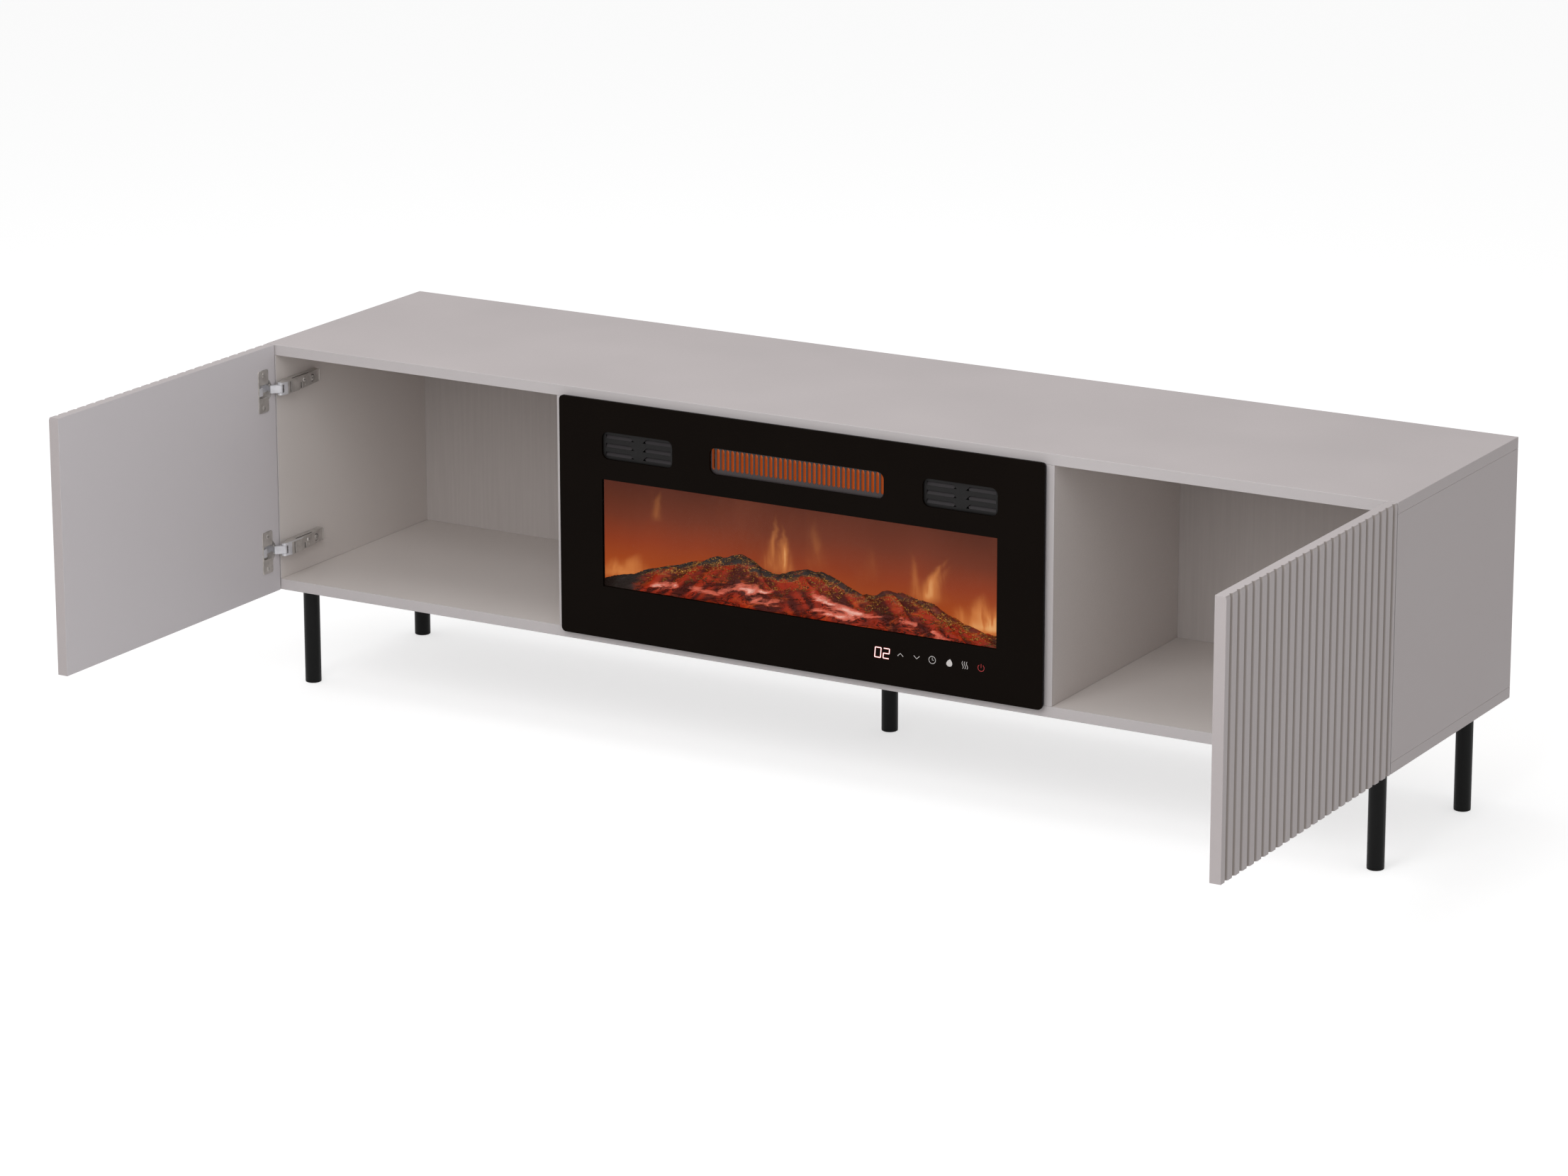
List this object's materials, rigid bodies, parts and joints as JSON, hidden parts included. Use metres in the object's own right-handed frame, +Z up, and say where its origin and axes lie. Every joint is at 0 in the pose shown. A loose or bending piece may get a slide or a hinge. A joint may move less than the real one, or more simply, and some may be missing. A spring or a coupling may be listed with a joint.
{
  "type": "fireplace tv stand",
  "caption": "Low wide TV stand on round legs, with two ribbed doors on concealed hinges either side of an electric fireplace insert with a flame display and fan heater.",
  "frame": {"origin": "on the floor, under the middle of the box around the stand with both doors open at 90 degrees", "axes": "+X to the right seen from the front, +Y from the front to the back, +Z up"},
  "size_m": [1.8, 0.9134, 0.521],
  "materials": {
    "cashmere_board": "matt laminated board, light warm grey",
    "thin_back_board": "matt printed hardboard, warm grey",
    "black_painted_steel": "satin black powder coat",
    "black_plastic": "fine textured black plastic",
    "nickel_steel": "nickel plated pressed steel",
    "black_glass": "gloss toughened glass, printed black behind",
    "dark_sheet_steel": "dark grey painted sheet",
    "zinc_sheet_steel": "zinc coated sheet",
    "flame_picture": "translucent screen, lit from behind",
    "ember_resin": "translucent painted resin, lit from below",
    "circuit_board": "green solder mask",
    "motor_steel": "plain drawn steel",
    "heating_block": "finned ceramic heater, glowing orange"
  },
  "bodies": {
    "cabinet": {"top_panel": "cashmere_board", "bottom_panel": "cashmere_board", "left_side_panel": "cashmere_board", "right_side_panel": "cashmere_board", "left_partition": "cashmere_board", "right_partition": "cashmere_board", "left_back_panel": "thin_back_board", "right_back_panel": "thin_back_board", "centre_back_panel": "thin_back_board", "leg_front_left": "black_painted_steel", "leg_front_right": "black_painted_steel", "leg_rear_left": "black_painted_steel", "leg_rear_right": "black_painted_steel", "leg_middle": "black_painted_steel", "glide_front_left": "black_plastic", "glide_front_right": "black_plastic", "glide_rear_left": "black_plastic", "glide_rear_right": "black_plastic", "glide_middle": "black_plastic", "right_upper_hinge_arm": "nickel_steel", "right_upper_hinge_mounting_plate": "nickel_steel", "right_lower_hinge_arm": "nickel_steel", "right_lower_hinge_mounting_plate": "nickel_steel", "left_upper_hinge_arm": "nickel_steel", "left_upper_hinge_mounting_plate": "nickel_steel", "left_lower_hinge_arm": "nickel_steel", "left_lower_hinge_mounting_plate": "nickel_steel", "glass_panel": "black_glass", "front_frame": "dark_sheet_steel", "heater_grille": "dark_sheet_steel", "left_vent_louvre": "black_plastic", "right_vent_louvre": "black_plastic", "casing": "zinc_sheet_steel", "rear_cover": "zinc_sheet_steel", "right_fixing_bracket": "zinc_sheet_steel", "left_fixing_bracket": "zinc_sheet_steel", "flame_screen": "flame_picture", "log_bed": "ember_resin", "ember_light_board": "circuit_board", "flame_motor": "motor_steel", "blower_housing": "zinc_sheet_steel", "blower_motor": "motor_steel", "heating_element": "heating_block", "control_board": "circuit_board", "power_inlet": "black_plastic"},
    "right_hinge_links": {"right_upper_hinge_link": "nickel_steel", "right_lower_hinge_link": "nickel_steel"},
    "right_door_leaf": {"right_door": "cashmere_board", "right_upper_hinge_cup": "nickel_steel", "right_lower_hinge_cup": "nickel_steel"},
    "left_hinge_links": {"left_upper_hinge_link": "nickel_steel", "left_lower_hinge_link": "nickel_steel"},
    "left_door_leaf": {"left_door": "cashmere_board", "left_upper_hinge_cup": "nickel_steel", "left_lower_hinge_cup": "nickel_steel"},
    "blower_rotor": {"blower_wheel": "black_plastic"},
    "flame_spindle": {"flame_rotor": "motor_steel"}
  },
  "joints": [
    {"name": "right_link_swing", "type": "hinge", "parent": "cabinet", "child": "right_hinge_links", "pos_m": [0.873, 0.05235, 0.3355], "axis": [0, 0, 1], "range_deg": [0, 22.99]},
    {"name": "right_door_swing", "type": "hinge", "parent": "cabinet", "child": "right_door_leaf", "pos_m": [0.89075, 0.04495, 0.3355], "axis": [0, 0, 1], "range_deg": [-90, 0]},
    {"name": "left_link_swing", "type": "hinge", "parent": "cabinet", "child": "left_hinge_links", "pos_m": [-0.873, 0.05235, 0.3355], "axis": [0, 0, -1], "range_deg": [0, 22.99]},
    {"name": "left_door_swing", "type": "hinge", "parent": "cabinet", "child": "left_door_leaf", "pos_m": [-0.89075, 0.04495, 0.3355], "axis": [0, 0, -1], "range_deg": [-90, 0]},
    {"name": "blower_spin", "type": "hinge", "parent": "cabinet", "child": "blower_rotor", "pos_m": [0, 0.1247, 0.4446], "axis": [1, 0, 0], "continuous": true},
    {"name": "flame_rotor_spin", "type": "hinge", "parent": "cabinet", "child": "flame_spindle", "pos_m": [0, 0.1527, 0.2335], "axis": [1, 0, 0], "continuous": true}
  ],
  "couplings": [
    {"joint": "right_link_swing", "follows": "right_door_swing", "ratio": -0.25548},
    {"joint": "left_link_swing", "follows": "left_door_swing", "ratio": -0.25548}
  ]
}
